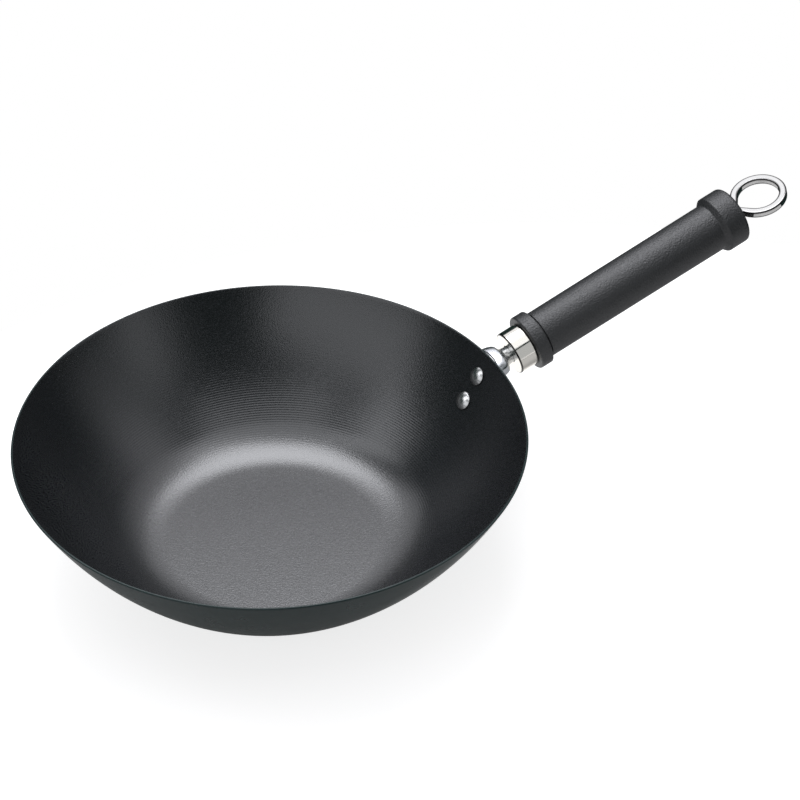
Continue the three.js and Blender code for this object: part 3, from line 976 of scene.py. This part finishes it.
def ring_mesh(eye, steps=160):
    """The eye's ring round the Z axis: a bar with rounded edges, its hole drawn to a cusp on the -X side."""
    points = []
    hole = eye.radius - eye.bar
    half = eye.thickness / 2
    for step in range(steps):
        turn = 2 * math.pi * step / steps
        from_cusp = abs(math.pi - turn)
        inner = hole / math.cos(max(0, eye.cusp - from_cusp))
        # The bar is thin at the cusp, so its edges are limited to a fifth of its width
        edge = min(eye.edge, (eye.radius - inner) / 5)
        section = rounded([
            (inner, -half, edge),
            (eye.radius, -half, edge),
            (eye.radius, half, edge),
            (inner, half, edge),
        ], margin=edge)
        points += [Vector((point.x * math.cos(turn), point.x * math.sin(turn), point.y)) for point in section]
    mesh = bpy.data.meshes.new("hanging_eye")
    mesh.from_pydata(points, [], grid_faces(steps, len(section), closed=True))
    return mesh


class WOK_OT_eye(bpy.types.Operator):
    """Makes the hanging eye, its shoulder and the shank that runs down the grip."""

    bl_idname = "wok.eye"
    bl_label = "Hanging eye"

    def execute(self, context):
        settings = context.scene.wok
        eye = settings.eye
        handle = settings.handle
        placement = handle_placement(settings)
        rear = handle.ferrule_standoff + handle.ferrule_length + handle.grip_length
        centre = rear + eye.standoff + eye.radius
        finish = plated_material(
            "steel_eye_chrome_plated", settings.colours.chrome, grain=9, roughness=(0.03, 0.08), depth=0.02
        )
        shoulder = rear + handle.gap
        shoulder_rear = centre - (eye.radius - eye.bar) / math.cos(eye.cusp)
        outline = rounded([
            (0, eye.shank_end, 0),
            (eye.shank_radius, eye.shank_end, eye.shank_edge),
            (eye.shank_radius, shoulder, 0),
            (eye.shoulder_radius, shoulder, eye.shoulder_edge),
            (eye.shoulder_radius, shoulder_rear, 0),
            (0, shoulder_rear, 0),
        ])
        shank = turned_piece("eye_shank", outline, closed=False, sides=handle.sides // 2, finish=finish)
        settle_along(shank, placement)
        piece = new_object("hanging_eye", ring_mesh(eye))
        piece.data.transform(placement @ Matrix.Translation((centre, eye.offset, 0)))
        add_modifier(piece, "BOOLEAN", operation="UNION", object=shank, solver="EXACT")
        settle(piece)
        bpy.data.objects.remove(shank)
        finish_piece(piece, ["eye_bolt"], finish, sharp=SHARP)
        return {"FINISHED"}


class WOK_OT_nut(bpy.types.Operator):
    """Gives the hidden nut its zinc plate."""

    bl_idname = "wok.nut"
    bl_label = "Nut"

    def execute(self, context):
        metal = context.scene.wok.colours.zinc
        finish = plated_material("steel_nut_zinc_plated", metal, grain=1.5, roughness=(0.3, 0.45), depth=0.03)
        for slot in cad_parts["neck_nut"].material_slots:
            slot.material = finish
        return {"FINISHED"}


# The stage


def studio_floor(settings, facing):
    """The round floor, a gap below the wok."""
    studio = settings.studio
    centre = facing @ Vector(studio.floor_centre)
    patch = facing @ Vector(studio.patch_centre)
    floor = bmesh.new()
    bmesh.ops.create_circle(floor, cap_ends=True, segments=studio.floor_sides, radius=studio.floor_radius)
    bmesh.ops.translate(floor, verts=floor.verts, vec=centre - Vector((0, 0, settings.handle.gap)))
    mesh = bpy.data.meshes.new("studio_floor")
    floor.to_mesh(mesh)
    floor.free()
    mesh.materials.append(floor_material(studio, settings.colours, centre, patch))
    new_object("studio_floor", mesh)


def studio_world(studio, colours, wall, side):
    """Even light, white to the camera. Shiny surfaces see a white wall, a light side and an unlit room."""
    world = bpy.data.worlds.new("Studio")
    bpy.context.scene.world = world
    world.use_nodes = True
    tree = world.node_tree
    tree.nodes.clear()
    rays = add_node(tree, "ShaderNodeLightPath").outputs
    way = add_node(tree, "ShaderNodeTexCoord").outputs["Generated"]
    axes = add_node(tree, "ShaderNodeSeparateXYZ", {0: way}).outputs
    level = add_node(tree, "ShaderNodeCombineXYZ", {"X": axes["X"], "Y": axes["Y"]})
    heading = add_node(tree, "ShaderNodeVectorMath", {0: level}, operation="NORMALIZE")
    # Each bright part of the room: the way to its middle, and where its width and its height fade in
    parts = [(wall, (0.75, 0.88), (0.4, 0.5)), (side, (0.45, 0.75), (0.25, 0.95))]
    lit = 0.0
    for middle, width, height in parts:
        across = add_node(tree, "ShaderNodeVectorMath", {0: heading, 1: middle}, operation="DOT_PRODUCT")
        share = 1.0
        for value, (low, high) in ((across.outputs["Value"], width), (axes["Z"], height)):
            fade = {"Value": value, "From Min": low, "From Max": high}
            step = add_node(tree, "ShaderNodeMapRange", fade, interpolation_type="SMOOTHSTEP")
            share = add_node(tree, "ShaderNodeMath", {0: step, 1: share}, operation="MULTIPLY")
        lit = add_node(tree, "ShaderNodeMath", {0: share, 1: lit}, operation="MAXIMUM")
    direct = add_node(tree, "ShaderNodeMath", {0: rays["Is Camera Ray"], 1: rays["Is Transmission Ray"]})
    seen = (studio.ambient, studio.ambient, studio.ambient, 1)
    mixes = {MIX_SHARE: lit, MIX_FIRST: (*colours.dark_side, 1), MIX_SECOND: (*colours.light, 1)}
    room = add_node(tree, "ShaderNodeMix", mixes, data_type="RGBA").outputs[MIX_RESULT]
    # Shiny surfaces see the room, the camera sees white, and all else the even light
    for share, other in ((rays["Is Glossy Ray"], room), (direct, (1, 1, 1, 1))):
        mixes = {MIX_SHARE: share, MIX_FIRST: seen, MIX_SECOND: other}
        seen = add_node(tree, "ShaderNodeMix", mixes, data_type="RGBA").outputs[MIX_RESULT]
    glow = add_node(tree, "ShaderNodeBackground", {"Color": seen})
    add_node(tree, "ShaderNodeOutputWorld", {"Surface": glow})


def add_panel(name, place, aim, size, brightness, tint):
    """A rectangular area light that faces a point. Its power follows from its brightness and its area."""
    lamp = bpy.data.lights.new(name, "AREA")
    lamp.shape = "RECTANGLE"
    lamp.size, lamp.size_y = size
    lamp.energy = brightness * PANEL_POWER * size[0] * size[1]
    lamp.color = tint
    panel = new_object(name, lamp)
    panel.location = place
    panel.rotation_euler = (aim - place).to_track_quat("-Z", "Y").to_euler()
    panel.visible_camera = False


def studio_lights(settings, facing):
    """Softboxes, panels and cards that face the middle of the bowl."""
    studio = settings.studio
    bowl_middle = Vector((0, 0, settings.bowl.height / 2))
    # Each light: degrees to the right of the camera, degrees up, distance, width, height and brightness
    lights = {
        "back_softbox": (187, 66, 1.25, 0.81, 0.735, studio.back_light),
        "top_softbox": (11, 78, 0.88, 0.95, 0.62, studio.top_light),
        "left_panel": (-36, 27, 1.3, 1.8, 0.75, studio.left_light),
        "right_panel": (84, 27, 1.1, 0.9, 0.6, studio.right_light),
        "handle_card": (68, 20, 0.33, 0.13, 0.26, studio.card_light),
        "rivet_card": (-92, 50, 0.65, 0.3, 0.36, studio.rivet_light),
    }
    for name, (right, up, distance, width, height, brightness) in lights.items():
        towards = Vector((0, -distance, 0))
        towards.rotate(Matrix.Rotation(-math.radians(up), 3, "X"))
        towards.rotate(Matrix.Rotation(math.radians(right), 3, "Z"))
        place = bowl_middle + facing @ towards
        add_panel(name, place, bowl_middle, (width, height), brightness, settings.colours.light)


def studio_camera(studio, facing):
    """The camera, at the photograph's viewing angle."""
    data = bpy.data.cameras.new("Camera")
    data.lens = studio.lens
    data.sensor_width = studio.sensor
    camera = new_object("Camera", data)
    away = facing @ Vector((0, -math.cos(studio.elevation), math.sin(studio.elevation)))
    camera.location = Vector(studio.aim) + studio.distance * away
    camera.rotation_euler = (-away).to_track_quat("-Z", "Y").to_euler()
    bpy.context.scene.camera = camera


class WOK_OT_stage(bpy.types.Operator):
    """Sets the floor, the light and the camera."""

    bl_idname = "wok.stage"
    bl_label = "Stage"

    def execute(self, context):
        settings = context.scene.wok
        studio = settings.studio
        facing = Matrix.Rotation(studio.azimuth, 3, "Z")
        back = facing @ Vector((0, 1, 0))
        wall = Matrix.Rotation(studio.wall_turn, 3, "Z") @ back
        side = Matrix.Rotation(-studio.side_turn, 3, "Z") @ back
        studio_floor(settings, facing)
        studio_world(studio, settings.colours, wall, side)
        studio_lights(settings, facing)
        studio_camera(studio, facing)
        context.scene.view_settings.view_transform = "Standard"
        return {"FINISHED"}


# The add-on


PIECES = [
    WOK_OT_bowl,
    WOK_OT_rivets,
    WOK_OT_bracket,
    WOK_OT_ferrule,
    WOK_OT_grip,
    WOK_OT_eye,
    WOK_OT_nut,
    WOK_OT_stage,
]


class WOK_PT_pieces(bpy.types.Panel):
    """Lists the wok's pieces and their sizes."""

    bl_idname = "WOK_PT_pieces"
    bl_label = "Wok"
    bl_space_type = "VIEW_3D"
    bl_region_type = "UI"
    bl_category = "Wok"

    def draw(self, context):
        layout = self.layout
        for operator in PIECES:
            layout.operator(operator.bl_idname)
        settings = context.scene.wok
        for group in (settings.bowl, settings.rivets, settings.bracket, settings.handle, settings.eye):
            box = layout.box()
            for name in group.bl_rna.properties.keys():
                if name not in ("rna_type", "name"):
                    box.prop(group, name)


SIZES = [BowlSizes, RivetSizes, BracketSizes, HandleSizes, EyeSizes]
SETTINGS = [*SIZES, FinishColours, StudioSettings, WokSettings]
CLASSES = [*SETTINGS, *PIECES, WOK_PT_pieces]


def register():
    for kind in CLASSES:
        bpy.utils.register_class(kind)
    bpy.types.Scene.wok = PointerProperty(type=WokSettings)


def unregister():
    del bpy.types.Scene.wok
    for kind in reversed(CLASSES):
        bpy.utils.unregister_class(kind)


def main():
    register()
    bpy.ops.wok.bowl()
    bpy.ops.wok.rivets()
    bpy.ops.wok.bracket()
    bpy.ops.wok.ferrule()
    bpy.ops.wok.grip()
    bpy.ops.wok.eye()
    bpy.ops.wok.nut()
    bpy.ops.wok.stage()


if __name__ == "__main__":
    main()
